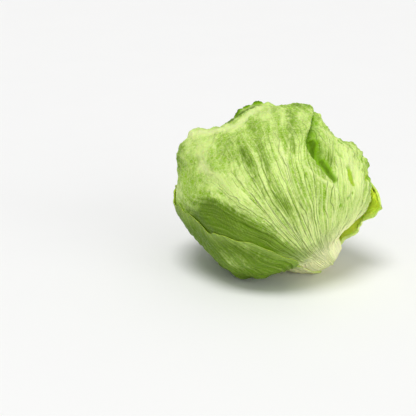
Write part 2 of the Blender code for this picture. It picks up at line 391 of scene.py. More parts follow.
def reach(towards):
    """Distance from the middle of the head to its outer surface, along unit directions.

    Two half ellipsoids, with the neck, the groove behind it, the notch and the lumps as bells.
    """
    along = towards[..., 2]
    across = np.sqrt(np.clip(1 - along**2, 0, 1))
    pole = np.where(along > 0, CROWN_REACH, SHOULDER_REACH)
    distance = 1 / np.sqrt((across / GIRTH_RADIUS) ** 2 + (along / pole) ** 2)
    from_butt, turned = angles_of(towards)
    distance += NECK_LENGTH * bell(from_butt, NECK_SPREAD)
    distance -= GROOVE_DEPTH * bell(from_butt - GROOVE_ANGLE, GROOVE_SPREAD)
    distance -= notch(from_butt, turned)
    for butt_angle, round_angle, spread, height in LUMPS:
        apart = from_place(towards, butt_angle, round_angle)
        distance += height * MM * bell(apart, math.radians(spread))
    return distance


def layer_point(towards, share, lift=0.0):
    """Points of the layer that is this share of the full size, from the middle of the head."""
    outer = (reach(towards) + lift)[..., None] * towards
    return GROWING + np.asarray(share)[..., None] * (outer - GROWING)


def stem_radius(height):
    """The stem's outline over its length: a quarter of an ellipse."""
    return STEM_RADIUS * np.sqrt(1 - np.clip(height / STEM_LENGTH, 0, 1) ** 2)


def foot_angle(share):
    """Angle from the butt at which a layer clears the stem's side."""
    angles = np.radians(np.linspace(2, 40, 381))
    local = layer_point(direction(angles, np.zeros_like(angles)), share)
    held = np.maximum(stem_radius(local[:, 2] + STEM_FACE) + FOOT_CLEARANCE, NARROWEST_FOOT)
    return angles[np.argmax(local[:, 0] > held)]


def unit(vectors):
    """Vectors divided by their length."""
    return vectors / np.maximum(np.linalg.norm(vectors, axis=-1, keepdims=True), 1e-12)


def grid_normals(points):
    """Unit normals of a grid of points: the cross product of its steps across and up."""
    return unit(np.cross(np.gradient(points, axis=1), np.gradient(points, axis=0)))


def crumple(towards, seed, shortest, longest):
    """Sharp ridges between soft hollows, -1 to 1: one less the sizes of two swells."""
    first = swell(towards, seed, 8, shortest, longest)
    second = swell(towards, seed + 1, 8, shortest, longest)
    return 1 - np.minimum(np.abs(first) * 1.1, 1) - np.minimum(np.abs(second) * 1.1, 1)


def cells(x, y, seed):
    """Distances to the nearest and the next nearest of points scattered one to a unit square."""
    random = np.random.default_rng(seed)
    side = 64
    table = random.uniform(0.1, 0.9, size=(side, side, 2))
    column, row = np.floor(x).astype(int), np.floor(y).astype(int)
    near = np.full(x.shape, 9.0)
    next_near = np.full(x.shape, 9.0)
    for right in (-1, 0, 1):
        for up in (-1, 0, 1):
            spot = table[(column + right) % side, (row + up) % side]
            apart = np.hypot(column + right + spot[..., 0] - x, row + up + spot[..., 1] - y)
            next_near = np.where(apart < near, near, np.minimum(next_near, apart))
            near = np.minimum(near, apart)
    return near, next_near


def chart(leaf):
    """The leaf's chart: its middle, the directions sideways and up, and the fan's foot in it.

    The foot is the centre of the circle round the stem from which the rays start, as a height
    in the chart, and that circle's radius.
    """
    foot = foot_angle(leaf.share)
    near = math.tan((foot - CHART_CENTRE) / 2)
    far = -math.tan((foot + CHART_CENTRE) / 2)
    around = math.radians(leaf.around)
    middle = direction(CHART_CENTRE, np.array(around))
    sideways = np.array([-math.sin(around), math.cos(around), 0.0])
    return middle, sideways, np.cross(middle, sideways), (near + far) / 2, (near - far) / 2


def on_chart(leaf, towards):
    """Angle of the ray and distance from the foot at directions, in a leaf's chart."""
    middle, sideways, upwards, origin, start = chart(leaf)
    nearer = np.maximum(1 + towards @ middle, 1e-3)
    x, y = towards @ sideways / nearer, towards @ upwards / nearer
    return np.arctan2(x, y - origin), np.hypot(x, y - origin) - start


class Fan(typing.NamedTuple):
    """A leaf's grid: rows from foot to tip, columns from side to side."""

    u: np.ndarray            # -1 to 1 across
    v: np.ndarray            # 0 to 1 up
    angle: np.ndarray        # of the ray from the foot, in radians
    radius: np.ndarray       # along the ray, in the leaf's chart
    x: np.ndarray
    y: np.ndarray
    towards: np.ndarray
    from_left: np.ndarray    # millimetres from the left rim


def leaf_fan(leaf):
    """The grid of a leaf and its directions.

    The leaf is a fan in a stereographic chart of the directions. The chart is centred on the
    leaf's middle, and the fan's rays start from the circle round the stem. Rows are an equal
    angle apart on the midrib. The outline waves in and out by a few parts in a hundred.
    """
    random = np.random.default_rng(leaf.seed)
    middle, sideways, upwards, origin, start = chart(leaf)
    top = math.tan((math.radians(leaf.tip) - CHART_CENTRE) / 2)
    fan = math.radians(leaf.fan)
    u = np.linspace(-1, 1, leaf.columns)[None, :] * np.ones((leaf.rows, 1))
    turned = np.linspace(foot_angle(leaf.share), math.radians(leaf.tip), leaf.rows)[:, None]
    v = (np.tan((turned - CHART_CENTRE) / 2) - origin - start) / (top - origin - start)
    v = v * np.ones((1, leaf.columns))
    end = (top - origin) * np.cos(u * fan / 2) ** leaf.roundness
    waves = sum(
        np.sin(number * math.pi * u + random.uniform(0, PHASES)) * size
        for number, size in ((2.3, 0.012), (4.1, 0.012), (7.3, 0.010), (12.7, 0.006))
    )
    radius = start + (end * (1 + waves) - start) * v
    opening = smooth(0, FAN_OPENS_OVER, radius - start)
    half = FOOT_HALF_ANGLE + (fan - FOOT_HALF_ANGLE) * opening
    for side, edge in ((u < 0, leaf.left), (u >= 0, leaf.right)):
        if edge:
            at, degrees = zip(*edge)
            half = np.where(side, np.radians(np.interp(radius - start, at, degrees)), half)
    sway = 0.030 * np.sin(9 * radius + random.uniform(0, PHASES)) + 0.016 * np.sin(21 * radius)
    angle = u * half + sway * u**3
    x, y = radius * np.sin(angle), origin + radius * np.cos(angle)
    square = (x * x + y * y)[..., None]
    towards = ((1 - square) * middle + 2 * x[..., None] * sideways + 2 * y[..., None] * upwards)
    from_left = (1 + u) * half * radius * 2 * GIRTH_RADIUS / MM / (1 + square[..., 0])
    return Fan(u, v, angle, radius - start, x, y, towards / (1 + square), from_left)


# The front leaf's ribs: angles in degrees at distances from the foot, from its left to its right
RIB_AT = (0, 0.1, 0.25, 0.4, 0.55, 0.7, 0.85, 1.0, 1.2, 1.45, 1.8)
RIB_ANGLES = (
    (-66, -66, -66, -66, -66, -66, -66, -66, -66, -66, -66),
    (-58, -56, -50, -46, -48, -53, -56, -58, -60, -60, -60),
    (-54, -50, -38, -33, -36, -43, -48, -52, -55, -56, -56),
    (-52, -47, -29, -22.5, -25, -32, -39, -45, -50, -52, -52),
    (-48, -42, -21, -14.5, -14.5, -21, -28.5, -36, -44, -48, -49),
    (-40, -31, -12.5, -9.5, -9.2, -13.5, -19, -24, -32, -40, -43),
    (-33, -24, -10, -7.2, -6.2, -8.5, -12.2, -16.5, -23, -31, -35),
    (-26, -18, -8, -5.6, -4.1, -5.1, -7.9, -11, -16, -23, -28),
    (-20, -13, -6.3, -4.2, -2.5, -2.2, -2.7, -3.6, -5.4, -8, -11),
    (-15, -9.5, -4.7, -2.9, -1.1, -0.4, 0, 0.5, 0.9, 1.2, 1.4),
    (-10.5, -6, -3.1, -1.6, 0.3, 1.5, 2.0, 2.6, 3.5, 4.5, 5),
    (-6.5, -3.5, -1.6, -0.3, 1.6, 3.0, 3.8, 5.0, 6.8, 9, 11),
    (-3, -1, 0.1, 1.2, 3.1, 4.7, 6.0, 7.8, 10.5, 14, 17),
    (0, 1.2, 2.2, 3.1, 4.9, 6.7, 8.4, 10.6, 13.8, 18, 21),
    (2.5, 3.4, 4.5, 5.4, 6.9, 9.0, 11.2, 13.6, 17.8, 23, 27),
    (5, 5.6, 6.5, 7.3, 9.2, 12.4, 15.6, 18.8, 23, 28, 32),
    (7.6, 7.9, 8.5, 9.6, 12, 16.4, 20.2, 24, 28, 33, 37),
    (10.5, 10.7, 11, 12.8, 16.4, 21.8, 26, 30, 34, 38, 42),
    (16, 15, 14, 17, 22.5, 28.5, 33, 36.5, 40, 43, 47),
    (26, 23, 20.5, 25.5, 32.5, 38, 42, 45, 47, 49, 52),
    (36, 32, 29, 34.5, 42, 46.5, 49.5, 51.5, 53, 54, 57),
    (48, 45, 41, 45, 51, 54, 56, 57.5, 58.5, 59, 61),
    (72, 70, 66, 66, 66, 66, 66, 66, 66, 66, 66),
)
FRONT_MIDRIB = 14            # number of the rib up the front leaf's middle


def rib_number(fan, leaf):
    """Which rib each point lies at, with fractions between ribs, and the ribs' spacing in mm.

    On the front leaf the ribs follow a table of angles, made smooth along its length by a
    moving average. On the others they are equally far apart from side to side of the leaf.
    A slow sine makes them wander.
    """
    random = np.random.default_rng(leaf.seed + 100)
    to_mm = (fan.radius + FOOT_CIRCLE) * 2 * GIRTH_RADIUS / (1 + fan.x**2 + fan.y**2) / MM
    if leaf is FRONT_LEAF:
        at = np.linspace(0, RIB_AT[-1], 181)
        window = np.hanning(19)
        lines = []
        for angles in RIB_ANGLES:
            padded = np.pad(np.interp(at, RIB_AT, np.radians(angles)), 9, mode="edge")
            lines.append(np.convolve(padded, window / window.sum(), mode="valid"))
        lines = [np.interp(fan.radius, at, line) for line in lines]
        number = np.zeros_like(fan.angle)
        spacing = np.zeros_like(fan.angle)
        for left, right in zip(lines[:-1], lines[1:]):
            gap = np.maximum(right - left, 1e-4)
            number += np.clip((fan.angle - left) / gap, 0, 1)
            spacing = np.where(fan.angle >= left, gap, spacing)
        number += (fan.angle - lines[0]) / (lines[1] - lines[0]) * (fan.angle < lines[0])
    else:
        number = fan.u * leaf.ribs * RIB_SHARE
        spacing = fan.angle / np.where(fan.u == 0, 1, fan.u) / leaf.ribs / RIB_SHARE
        spacing[:, leaf.columns // 2] = spacing[:, leaf.columns // 2 + 1]
    wander = 0.16 * np.sin(6 * fan.radius + 0.9 * number + random.uniform(0, PHASES))
    wander += 0.09 * np.sin(15 * fan.radius - 1.7 * number + random.uniform(0, PHASES))
    return number + wander * smooth(0.2, 0.7, fan.radius), spacing * to_mm


def rib_ridges(fan, leaf, width):
    """Ribs, 0 between them and 1 on their crests, with the ribs' numbers and spacing.

    A bell of the distance from the nearest rib is its ridge. Finer ribs stand halfway between
    wherever the ribs are far enough apart, and finer ones again at the quarters.
    """
    random = np.random.default_rng(leaf.seed + 150)
    number, spacing = rib_number(fan, leaf)
    ridge = np.zeros_like(number)
    kinds = 256
    for parts, least, narrower in ((1, 0.0, 1.0), (2, 4.2, 0.8), (4, 11.0, 0.7)):
        nearest = np.round(number * parts).astype(int)
        strength = random.uniform(0.6, 1.0, kinds)[nearest % kinds]
        start = least * random.uniform(0.8, 1.4, kinds)[nearest % kinds]
        here = smooth(start, start * 1.35 + 0.01, spacing) if least else 1.0
        crest = bell((number * parts - nearest) * spacing / parts, width * narrower)
        ridge = np.maximum(ridge, crest * strength * here)
    return ridge, number, spacing


def soft_lift(leaf, towards, radius, edge, sizes):
    """How far a leaf stands out over its layer, without ribs, folds and ruffles, and its roughness.

    Soft waves, sharp ridges where it is crumpled, and the foot that stands out round the stem
    but for the leaf's left and the hollow beside the butt. The front leaf is rough only at its
    right margin and over the crown.
    """
    from_butt, turned = angles_of(towards)
    waves = swell(towards, SHARED_WAVES, 9, 5, 12) * 0.6
    waves += swell(towards, leaf.seed, 10, 14, 30) * 0.4 * smooth(0.02, 0.3, edge)
    lift = waves * sizes.swell * smooth(0.12, 0.40, radius)
    rough = np.ones_like(radius)
    if leaf is FRONT_LEAF:
        rough = over(20, 60, turned) * over(30, 55, from_butt)
        rough = np.maximum(rough, over(128, 150, from_butt))
        margin = over(50, 72, turned) * over(35, 50, from_butt) * over(122, 104, from_butt)
        lift = lift + 1.6 * MM * margin * crumple(towards, 71, 18, 34)
    folded = crumple(towards, leaf.seed + 40, 8, 17) + 0.5 * crumple(towards, leaf.seed + 50, 18, 32)
    lift = lift + sizes.crumple * folded * (0.25 + 0.75 * rough) * smooth(0.15, 0.6, radius)
    hollow = over(15, 45, turned) * over(18, 26, from_butt)
    held = over(-88, -58, turned) * (1 - 0.9 * hollow)
    lift = lift + leaf.lift * MM * bell(from_butt, FOOT_SPREAD) * held
    if leaf.share > NOTCH_SHARE:
        lift = lift + notch(from_butt, turned)
    return lift, 0.3 + 0.7 * rough


def covered(leaf, towards):
    """1 at directions that a leaf's right half covers by two millimetres or more, else 0."""
    angle, radius = on_chart(leaf, towards)
    at, degrees = zip(*leaf.right)
    beyond = np.radians(np.interp(radius, at, degrees)) - angle
    inwards = beyond * (radius + FOOT_CIRCLE) * GIRTH_RADIUS / MM
    return smooth(-1, 2, inwards) * (angle > 0) * smooth(1.35, 1.25, radius)


def ruffle(leaf, fan, edge):
    """Ruffles of the rim: sines of the angle about the leaf's middle, fading inwards."""
    about = np.arctan2(fan.v - 0.45, fan.u)
    random = np.random.default_rng(leaf.seed + 200)
    frill = sum(
        np.sin(number * about + random.uniform(0, PHASES)) * size
        for number, size in ((9, 0.40), (16, 0.38), (27, 0.30), (43, 0.16))
    )
    return frill * smooth(0.26, 0.0, edge) ** 1.5 * smooth(0.1, 0.5, fan.v)


def front_relief(towards, height, fold_shade):
    """Height in millimetres, painted shade and paleness of what stands on the front leaf.

    The small creases add to the pleat's height. A knob is round with steep sides, as the
    exponential of the angle from its middle squared and to the fourth. A vein is a bell of the
    distance from its path, and fades at both ends. The darkness is painted shade, in the creases
    and round the darker knobs. The paleness is the veins' own colour and a painted sheen along
    the ridge at the upper left.
    """
    dark = 0.5 * fold_shade
    pale = np.zeros_like(height)
    for crease in SMALL_CREASES:
        more, _, _, inside = crease.field(towards)
        height = height + more
        dark = np.maximum(dark, 0.4 * inside)
    for butt_angle, round_angle, spread, rise, darker in KNOBS:
        apart = from_place(towards, butt_angle, round_angle) / math.radians(spread)
        height = height + rise * np.exp(-apart**2 * (0.5 + 0.5 * apart**2))
        dark = np.maximum(dark, darker * np.exp(-apart**4))
    for path, rise, width in VEINS:
        along, aside = beside_path(towards, path)
        crest = bell(aside, width) * smooth(0, 0.1, along) * smooth(1, 0.9, along)
        height = height + rise * crest
        pale = np.maximum(pale, crest)
    # painted sheen along the upper left ridge, in the ribs' colour
    pale = np.maximum(pale, PAINTED_SHEEN_PALENESS * bell(beside_path(towards, PAINTED_SHEEN_RIDGE)[1], PAINTED_SHEEN_WIDTH))
    return height, dark, pale


def front_tints(towards):
    """Change of the front leaf's tint: bells of the angle from places and bells beside paths."""
    tint = np.zeros(towards.shape[:-1])
    for butt_angle, round_angle, spread, shade in TINTS:
        tint += shade * bell(from_place(towards, butt_angle, round_angle), math.radians(spread))
    for path, spread, shade in BANDS:
        tint += shade * bell(beside_path(towards, path)[1], spread)
    return tint


def front_shade_marks(towards, dark):
    """Painted shade of the folds with the marks' painted shade added, and how much of the inner side's
    colour they show.
    """
    shown = np.zeros_like(dark)
    for path, spread, deep, inner in SHADE_MARKS:
        along, aside = beside_path(towards, path)
        spot = np.exp(-np.abs(aside / spread) ** 2.5)
        spot = spot * smooth(0, 0.12, along) * smooth(1, 0.88, along)
        dark = np.maximum(dark, deep * spot)
        shown = np.maximum(shown, inner * spot)
    return dark, shown


def closed_on_front(leaf, fan, edge, lift, sizes):
    """Lift and share of a leaf whose rim lies against the front leaf, but for its back.

    Towards the rim both go over to those of the front leaf with the leaf's gap added.
    """
    radius = on_chart(FRONT_LEAF, fan.towards)[1]
    below, _ = soft_lift(FRONT_LEAF, fan.towards, radius, 1.0, sizes)
    far = np.linalg.norm((reach(fan.towards) + below)[..., None] * fan.towards - GROWING, axis=-1)
    _, turned = angles_of(fan.towards)
    closing = smooth(0.60, 0.10, edge) * smooth(0.0, 0.15, fan.radius)
    closing = closing * over(-135, -95, turned) * over(135, 95, turned)
    lift = lift + (below - lift) * closing
    return lift, leaf.share + (FRONT_LEAF.share + leaf.hug * MM / far - leaf.share) * closing


def puckers(leaf, fan, rough):
    """Blisters between the small veins, and the veins: 1 at their highest.

    Both come from the difference between the distances to the nearest two scattered points.
    """
    bent = 0.15 * np.sin(9 * fan.x + 4 * fan.y), 0.15 * np.sin(8 * fan.y - 5 * fan.x)
    near, next_near = cells(fan.x * 15 + 3 * bent[0], fan.y * 12 + 3 * bent[1], leaf.seed)
    near_small, next_small = cells(fan.x * 34 + 7 + 5 * bent[1], fan.y * 28, leaf.seed + 1)
    blister = smooth(0.0, 0.5, next_near - near) * np.clip(1.2 - near**2, 0, 1)
    small = smooth(0.0, 0.5, next_small - near_small)
    loose = smooth(0.25, 0.9, fan.radius) * rough
    vein = np.clip(1 - (next_near - near) * 3.2, 0, 1)
    return (0.65 * blister + 0.35 * small) * loose, vein * loose


def leaning_over(base, across, overhang):
    """Points moved along their own surface, the way that the distance from the path grows."""
    aside = np.gradient(across, axis=1)[..., None] * np.gradient(base, axis=1)
    aside = unit(aside + np.gradient(across, axis=0)[..., None] * np.gradient(base, axis=0))
    return base + (overhang * MM)[..., None] * aside


def leaf_surface(leaf, sizes):
    """Outer and inner points of a leaf, the patterns that its finish reads, and its map.

    The base is the layer's point along each direction, with soft waves, ruffles at the rim and
    folds, and flat where the head rests. The leaves inside the front one sink below its pleat.
    Ribs and blisters stand out from the base along its normal, and the inner face lies a
    thickness inside.
    """
    fan = leaf_fan(leaf)
    front = leaf is FRONT_LEAF
    edge = np.minimum(1 - np.abs(fan.u), (1 - fan.v) * 0.9)
    lift, rough = soft_lift(leaf, fan.towards, fan.radius, edge, sizes)
    tint = leaf.tint + 0.25 * swell(fan.towards, leaf.seed + 60, 8, 4, 11)
    if leaf.flare:
        flare = bell(fan.from_left, FLARE_WIDTH)
        lift = lift + np.interp(fan.radius, *zip(*leaf.flare)) * MM * flare
        # painted light: the flared left rim is paler where it turns down into shade
        tint += 1.2 * flare
    lift = lift + ruffle(leaf, fan, edge) * sizes.ruffle * leaf.frill

    height, overhang, across, fold_shade = PLEAT.field(fan.towards)
    if front:
        height, dark, pale = front_relief(fan.towards, height, fold_shade)
        dark, shown = front_shade_marks(fan.towards, dark)
        lift = lift + height * MM
        tint += front_tints(fan.towards)
    else:
        dark, pale, shown = np.zeros((3, *height.shape))
        under = np.interp(across, (-12, -2, 8, 26), (0, 1, 1, 0)) * (leaf.share < FRONT_LEAF.share)
        lift = lift - under * np.maximum(2 - height, 0) * MM

    share = leaf.share
    if leaf.hug:
        lift, share = closed_on_front(leaf, fan, edge, lift, sizes)
    base = layer_point(fan.towards, share, lift)
    if front:
        base = leaning_over(base, across, overhang)
    base = MIDDLE + base @ BASIS.T
    foot = bell(angles_of(fan.towards)[0], FOOT_SPREAD)
    floor = PRESSED_RISE * (1 - leaf.share) * (1 - foot * (leaf.lift > 0))
    base[..., 2] = np.maximum(base[..., 2], floor)

    ridge, number, spacing = rib_ridges(fan, leaf, sizes.rib_width / MM)
    fade = 1 - 0.8 * smooth(0.35, 1.25, fan.radius)
    if front:
        fade = fade * (1 - covered(BOTTOM_LEAF, fan.towards))
    ribs = ridge * fade * smooth(0.0, 0.08, fan.radius) * (1 - 0.7 * smooth(0.5, 1.5, tint))
    if front:
        midrib = bell((number - FRONT_MIDRIB) * spacing, 2.6) * smooth(1.5, 0.9, fan.radius)
        ribs = np.maximum(ribs, midrib)
        pale = np.maximum(pale, midrib)
    blisters, veins = puckers(leaf, fan, rough)
    out = ribs * sizes.rib_height + blisters * sizes.blister
    normals = grid_normals(base)
    outer = base + normals * out[..., None]
    outer[..., 2] = np.maximum(outer[..., 2], floor)
    blade = sizes.blade * (0.35 + 0.65 * smooth(0, 0.05, edge))
    thick = blade + (leaf.heel * bell(fan.radius, 0.18) + 0.7 * ribs * bell(fan.radius, 0.5)) * MM
    inner = base - normals * (thick - 0.6 * blisters * sizes.blister)[..., None]
    patterns = {
        "rib": np.maximum(ridge * (1 - 0.8 * smooth(0.6, 1.6, fan.radius)), pale),
        # painted shade of the folds, the knobs and the marks
        "fold_shade": dark,
        "inside": shown,
        "valley": (1 - ridge) * (1 - smooth(0.45, 1.1, fan.radius)),
        "tint": tint,
        "spacing": np.clip(spacing, 0.3, 60),
        "fromfoot": fan.radius * (1.0 if front else 1.5),
        "heel": bell(fan.radius, 0.40 if front else 0.30),
        "vein": veins,
        "rim": smooth(0.10, 0.0, edge) * (0.35 if leaf.hug else 1.0),
    }
    sheet = np.stack([number * UV_PER_RIB, fan.radius], axis=-1)
    return outer, inner, patterns, sheet


def faces_between(rows, columns, first=0, inwards=False):
    """Corner numbers of the faces between the points of a grid, row after row."""
    row, column = np.mgrid[0:rows - 1, 0:columns - 1]
    corner = (first + row * columns + column).ravel()
    ring = [corner, corner + 1, corner + columns + 1, corner + columns]
    return np.stack(ring[::-1] if inwards else ring, axis=1)


def border(rows, columns):
    """Numbers of a grid's outermost points, once round it in the order of its faces' corners."""
    return np.concatenate([
        np.arange(columns - 1),
        np.arange(rows - 1) * columns + columns - 1,
        (rows - 1) * columns + np.arange(columns - 1, 0, -1),
        np.arange(rows - 1, 0, -1) * columns,
    ])


def new_piece(name, points, groups, patterns, material, sheet=None):
    """An object at the origin with these points and faces, its patterns as point attributes.

    Each group is an array of faces with the same number of corners, one face to a row.
    """
    mesh = bpy.data.meshes.new(name)
    corners = np.concatenate([group.ravel() for group in groups])
    counts = np.concatenate([np.full(len(group), group.shape[1]) for group in groups])
    mesh.vertices.add(len(points))
    mesh.vertices.foreach_set("co", points.astype(np.float32).ravel())
    mesh.loops.add(len(corners))
    mesh.loops.foreach_set("vertex_index", corners.astype(np.int32))
    mesh.polygons.add(len(counts))
    mesh.polygons.foreach_set("loop_start", (np.cumsum(counts) - counts).astype(np.int32))
    mesh.update(calc_edges=True)
    for pattern, values in patterns.items():
        layer = mesh.attributes.new(pattern, "FLOAT", "POINT")
        layer.data.foreach_set("value", values.astype(np.float32).ravel())
    if sheet is not None:
        uv = mesh.uv_layers.new(name="fan")
        uv.data.foreach_set("uv", sheet[corners].astype(np.float32).ravel())
    mesh.shade_smooth()
    mesh.materials.append(material)
    piece = bpy.data.objects.new(name, mesh)
    bpy.context.scene.collection.objects.link(piece)
    return piece


def closed_sheet(name, outer, inner, patterns, sheet, material):
    """A piece closed all round: the outer grid, a coarser inner grid turned inwards and a rim.

    The inner grid has every second row and column. Each of its outermost edges meets two edges
    of the outer grid in a face with five corners. The pattern "inside" is 1 on the inner grid.
    """
    rows, columns = outer.shape[:2]
    low_rows, low_columns = (rows + 1) // 2, (columns + 1) // 2
    count = rows * columns
    ring = border(rows, columns)
    low = border(low_rows, low_columns) + count
    rim = [np.roll(ring, -2)[::2], np.roll(ring, -1)[::2], ring[::2], low, np.roll(low, -1)]
    groups = [
        faces_between(rows, columns),
        faces_between(low_rows, low_columns, count, inwards=True),
        np.stack(rim, axis=1),
    ]

    def both(grid):
        width = grid.shape[2:]
        return np.concatenate([grid.reshape(-1, *width), grid[::2, ::2].reshape(-1, *width)])

    values = {key: both(grid) for key, grid in patterns.items()}
    values["inside"][count:] = 1.0
    points = np.concatenate([outer.reshape(-1, 3), inner[::2, ::2].reshape(-1, 3)])
    return new_piece(name, points, groups, values, material, both(sheet))


# Materials


# Sockets of the Mix node where it mixes colours
MIX_FIRST, MIX_SECOND, MIX_RESULT = 6, 7, 2


class Nodes:
    """Short words for the nodes of one material."""

    def __init__(self, name):
        self.material = bpy.data.materials.new(name)
        self.material.use_nodes = True
        self.tree = self.material.node_tree
        self.shader = self.tree.nodes["Principled BSDF"]

    def add(self, kind, **settings):
        node = self.tree.nodes.new(kind)
        for key, value in settings.items():
            setattr(node, key, value)
        return node

    def feed(self, socket, value):
        if isinstance(value, bpy.types.NodeSocket):
            self.tree.links.new(value, socket)
        else:
            socket.default_value = value

    def attribute(self, name):
        return self.add("ShaderNodeAttribute", attribute_name=name).outputs["Fac"]

    def objects(self):
        return self.add("ShaderNodeTexCoord").outputs["Object"]

    def sheet(self, across, along):
        """The leaf's own map, stretched by a number across the ribs and one along them."""
        place = self.add("ShaderNodeUVMap", uv_map="fan").outputs["UV"]
        mapping = self.add("ShaderNodeMapping")
        self.feed(mapping.inputs["Vector"], place)
        mapping.inputs["Scale"].default_value = (across, along, 1)
        return mapping.outputs["Vector"]

    def noise(self, where, scale, detail=3.0, roughness=0.55):
        node = self.add("ShaderNodeTexNoise")
        self.feed(node.inputs["Vector"], where)
        node.inputs["Scale"].default_value = scale
        node.inputs["Detail"].default_value = detail
        node.inputs["Roughness"].default_value = roughness
        return node.outputs["Fac"]

    def lines(self, parts, width, coverage):
        """Thin lines up the leaf, so many to a rib: 1 on a line. They wander, come and go.

        The map's first coordinate counts the ribs. Each line lies at a place of its own in its
        share of a rib's spacing, and its distance is that spacing times the difference.
        """
        split = self.add("ShaderNodeSeparateXYZ")
        self.feed(split.inputs[0], self.sheet(parts / UV_PER_RIB, 1))
        drift = self.noise(self.sheet(5 * parts, 5), 1.0, 2)
        across = self.plus(split.outputs["X"], drift, 1.3)
        which = self.math("FLOOR", across)
        chance = self.add("ShaderNodeTexWhiteNoise", noise_dimensions="1D")
        self.feed(chance.inputs["W"], which)
        aside = self.math("SUBTRACT", self.math("FRACT", across),
                          self.between(chance.outputs["Value"], 0, 1, 0.25, 0.75))
        apart = self.times(self.math("ABSOLUTE", aside), self.attribute("spacing"))
        where = self.add("ShaderNodeCombineXYZ")
        self.feed(where.inputs["X"], self.times(which, 7.3))
        self.feed(where.inputs["Y"], self.times(split.outputs["Y"], 7))
        where.inputs["Z"].default_value = parts * 11.0
        there = self.between(self.noise(where.outputs["Vector"], 1.0, 2), 0.56 - 0.3 * coverage,
                             0.66 - 0.3 * coverage)
        line = self.between(apart, width * parts * 1.5, width * parts * 0.5)
        return self.times(line, there)

    def network(self, scale, width):
        """Thin lines between scattered cells: 1 on the lines and 0 inside the cells."""
        bend = self.add("ShaderNodeTexNoise")
        self.feed(bend.inputs["Vector"], self.objects())
        bend.inputs["Scale"].default_value = scale * 0.6
        shifted = self.add("ShaderNodeMix", data_type="RGBA", blend_type="LINEAR_LIGHT")
        shifted.inputs["Factor"].default_value = 0.004
        self.feed(shifted.inputs[MIX_FIRST], self.objects())
        self.feed(shifted.inputs[MIX_SECOND], bend.outputs["Color"])
        cell = self.add("ShaderNodeTexVoronoi", feature="DISTANCE_TO_EDGE")
        self.feed(cell.inputs["Vector"], shifted.outputs[MIX_RESULT])
        cell.inputs["Scale"].default_value = scale
        return self.between(cell.outputs["Distance"], 0.0, width, 1.0, 0.0)

    def math(self, operation, first, second=0.0, third=0.0):
        node = self.add("ShaderNodeMath", operation=operation)
        for socket, value in zip(node.inputs, (first, second, third)):
            self.feed(socket, value)
        return node.outputs["Value"]

    def times(self, first, second):
        return self.math("MULTIPLY", first, second)

    def plus(self, base, value, share):
        """The base and a share of the value."""
        return self.math("MULTIPLY_ADD", value, share, base)

    def between(self, value, low, high, out_low=0.0, out_high=1.0):
        """The S of smooth, from out_low where the value is low to out_high where it is high."""
        node = self.add("ShaderNodeMapRange", interpolation_type="SMOOTHSTEP")
        for key, setting in zip(("Value", "From Min", "From Max", "To Min", "To Max"),
                                (value, low, high, out_low, out_high)):
            self.feed(node.inputs[key], setting)
        return node.outputs["Result"]

    def mix(self, share, first, second):
        """The first colour with a share of the second over it."""
        node = self.add("ShaderNodeMix", data_type="RGBA", blend_type="MIX", clamp_factor=True)
        self.feed(node.inputs["Factor"], share)
        self.feed(node.inputs[MIX_FIRST], solid(first))
        self.feed(node.inputs[MIX_SECOND], solid(second))
        return node.outputs[MIX_RESULT]

    def bump(self, height, distance, strength):
        node = self.add("ShaderNodeBump")
        node.inputs["Strength"].default_value = strength
        node.inputs["Distance"].default_value = distance
        self.feed(node.inputs["Height"], height)
        return node.outputs["Normal"]

    def glow(self, weight, colour, depth):
        """Light that goes into the surface and comes out again nearby."""
        self.shader.inputs["Subsurface Weight"].default_value = weight
        self.shader.inputs["Subsurface Radius"].default_value = colour
        self.shader.inputs["Subsurface Scale"].default_value = depth


def solid(value):
    """A colour of three numbers with the fourth that a socket takes, or else the value as it is."""
    return value if isinstance(value, bpy.types.NodeSocket) else (*value, 1.0)


